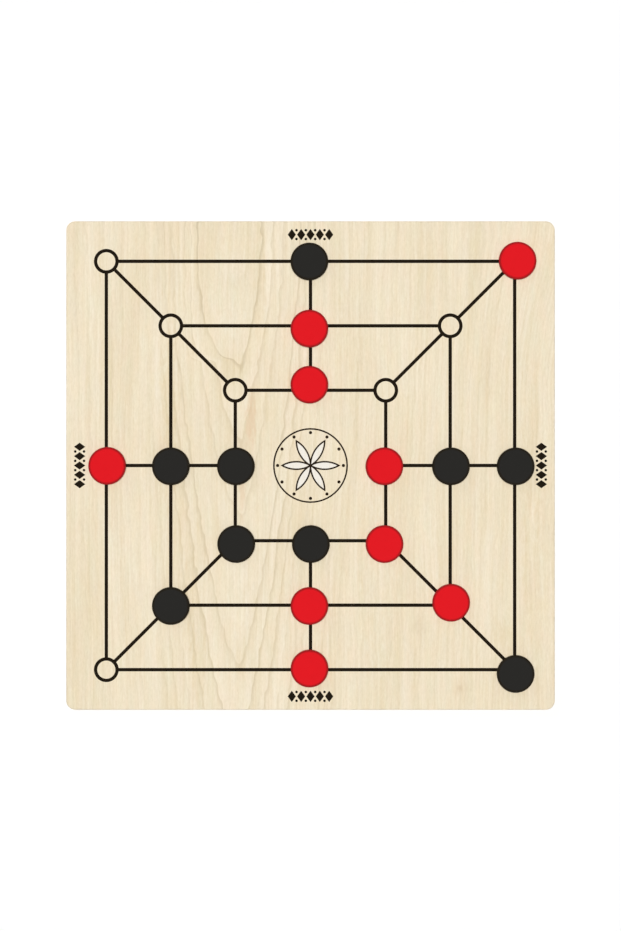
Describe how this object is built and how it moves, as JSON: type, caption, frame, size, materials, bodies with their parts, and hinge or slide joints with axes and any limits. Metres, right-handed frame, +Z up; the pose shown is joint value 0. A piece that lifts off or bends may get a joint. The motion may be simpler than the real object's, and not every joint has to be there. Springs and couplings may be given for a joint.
{
  "type": "twelve stones board",
  "caption": "Square plywood morris board with engraved, paint-filled squares, diagonals and ringed points, and flat round stones of two colours standing on its points.",
  "frame": {"origin": "centre of the board's underside, on the table", "axes": "+Z up through the board's face, +Y away from the near player, which is up in the picture, +X to that player's right"},
  "size_m": [0.3, 0.3, 0.011],
  "materials": {
    "face_veneer": "sanded maple veneer under satin clear lacquer",
    "back_veneer": "sanded maple veneer of the plainer grade, satin clear lacquer",
    "crossband": "poplar ply seen across the grain at the board's edge",
    "core_ply": "poplar ply seen along the grain at the board's edge",
    "line_paint": "brown-black paint, dried in the engraving, satin",
    "rosette_paint": "dark brown paint, dried in the engraving, satin",
    "petal_paint": "thin cream paint in the rosette's petals, satin",
    "red_stone": "turned hardwood, dyed dark, with satin red paint on its faces",
    "black_stone": "turned hardwood, dyed dark, with satin black paint on its faces"
  },
  "bodies": {
    "board": {"back_veneer": "back_veneer", "lower_crossband": "crossband", "core_ply": "core_ply", "upper_crossband": "crossband", "face_veneer": "face_veneer", "grid_line_paint": "line_paint", "point_ring_paint": "line_paint", "rosette_paint": "rosette_paint", "petal_paint": "petal_paint", "side_row_paint": "line_paint"},
    "black_stone_outer_n": {"black_stone_outer_n": "black_stone"},
    "red_stone_outer_ne": {"red_stone_outer_ne": "red_stone"},
    "black_stone_outer_e": {"black_stone_outer_e": "black_stone"},
    "black_stone_outer_se": {"black_stone_outer_se": "black_stone"},
    "red_stone_outer_s": {"red_stone_outer_s": "red_stone"},
    "red_stone_outer_w": {"red_stone_outer_w": "red_stone"},
    "red_stone_middle_n": {"red_stone_middle_n": "red_stone"},
    "black_stone_middle_e": {"black_stone_middle_e": "black_stone"},
    "red_stone_middle_se": {"red_stone_middle_se": "red_stone"},
    "red_stone_middle_s": {"red_stone_middle_s": "red_stone"},
    "black_stone_middle_sw": {"black_stone_middle_sw": "black_stone"},
    "black_stone_middle_w": {"black_stone_middle_w": "black_stone"},
    "red_stone_inner_n": {"red_stone_inner_n": "red_stone"},
    "red_stone_inner_e": {"red_stone_inner_e": "red_stone"},
    "red_stone_inner_se": {"red_stone_inner_se": "red_stone"},
    "black_stone_inner_s": {"black_stone_inner_s": "black_stone"},
    "black_stone_inner_sw": {"black_stone_inner_sw": "black_stone"},
    "black_stone_inner_w": {"black_stone_inner_w": "black_stone"}
  },
  "joints": [
    {"name": "lift_black_stone_outer_n", "type": "slide", "parent": "board", "child": "black_stone_outer_n", "axis": [0, 0, 1], "range_m": [0, 0.03]},
    {"name": "lift_red_stone_outer_ne", "type": "slide", "parent": "board", "child": "red_stone_outer_ne", "axis": [0, 0, 1], "range_m": [0, 0.03]},
    {"name": "lift_black_stone_outer_e", "type": "slide", "parent": "board", "child": "black_stone_outer_e", "axis": [0, 0, 1], "range_m": [0, 0.03]},
    {"name": "lift_black_stone_outer_se", "type": "slide", "parent": "board", "child": "black_stone_outer_se", "axis": [0, 0, 1], "range_m": [0, 0.03]},
    {"name": "lift_red_stone_outer_s", "type": "slide", "parent": "board", "child": "red_stone_outer_s", "axis": [0, 0, 1], "range_m": [0, 0.03]},
    {"name": "lift_red_stone_outer_w", "type": "slide", "parent": "board", "child": "red_stone_outer_w", "axis": [0, 0, 1], "range_m": [0, 0.03]},
    {"name": "lift_red_stone_middle_n", "type": "slide", "parent": "board", "child": "red_stone_middle_n", "axis": [0, 0, 1], "range_m": [0, 0.03]},
    {"name": "lift_black_stone_middle_e", "type": "slide", "parent": "board", "child": "black_stone_middle_e", "axis": [0, 0, 1], "range_m": [0, 0.03]},
    {"name": "lift_red_stone_middle_se", "type": "slide", "parent": "board", "child": "red_stone_middle_se", "axis": [0, 0, 1], "range_m": [0, 0.03]},
    {"name": "lift_red_stone_middle_s", "type": "slide", "parent": "board", "child": "red_stone_middle_s", "axis": [0, 0, 1], "range_m": [0, 0.03]},
    {"name": "lift_black_stone_middle_sw", "type": "slide", "parent": "board", "child": "black_stone_middle_sw", "axis": [0, 0, 1], "range_m": [0, 0.03]},
    {"name": "lift_black_stone_middle_w", "type": "slide", "parent": "board", "child": "black_stone_middle_w", "axis": [0, 0, 1], "range_m": [0, 0.03]},
    {"name": "lift_red_stone_inner_n", "type": "slide", "parent": "board", "child": "red_stone_inner_n", "axis": [0, 0, 1], "range_m": [0, 0.03]},
    {"name": "lift_red_stone_inner_e", "type": "slide", "parent": "board", "child": "red_stone_inner_e", "axis": [0, 0, 1], "range_m": [0, 0.03]},
    {"name": "lift_red_stone_inner_se", "type": "slide", "parent": "board", "child": "red_stone_inner_se", "axis": [0, 0, 1], "range_m": [0, 0.03]},
    {"name": "lift_black_stone_inner_s", "type": "slide", "parent": "board", "child": "black_stone_inner_s", "axis": [0, 0, 1], "range_m": [0, 0.03]},
    {"name": "lift_black_stone_inner_sw", "type": "slide", "parent": "board", "child": "black_stone_inner_sw", "axis": [0, 0, 1], "range_m": [0, 0.03]},
    {"name": "lift_black_stone_inner_w", "type": "slide", "parent": "board", "child": "black_stone_inner_w", "axis": [0, 0, 1], "range_m": [0, 0.03]}
  ]
}
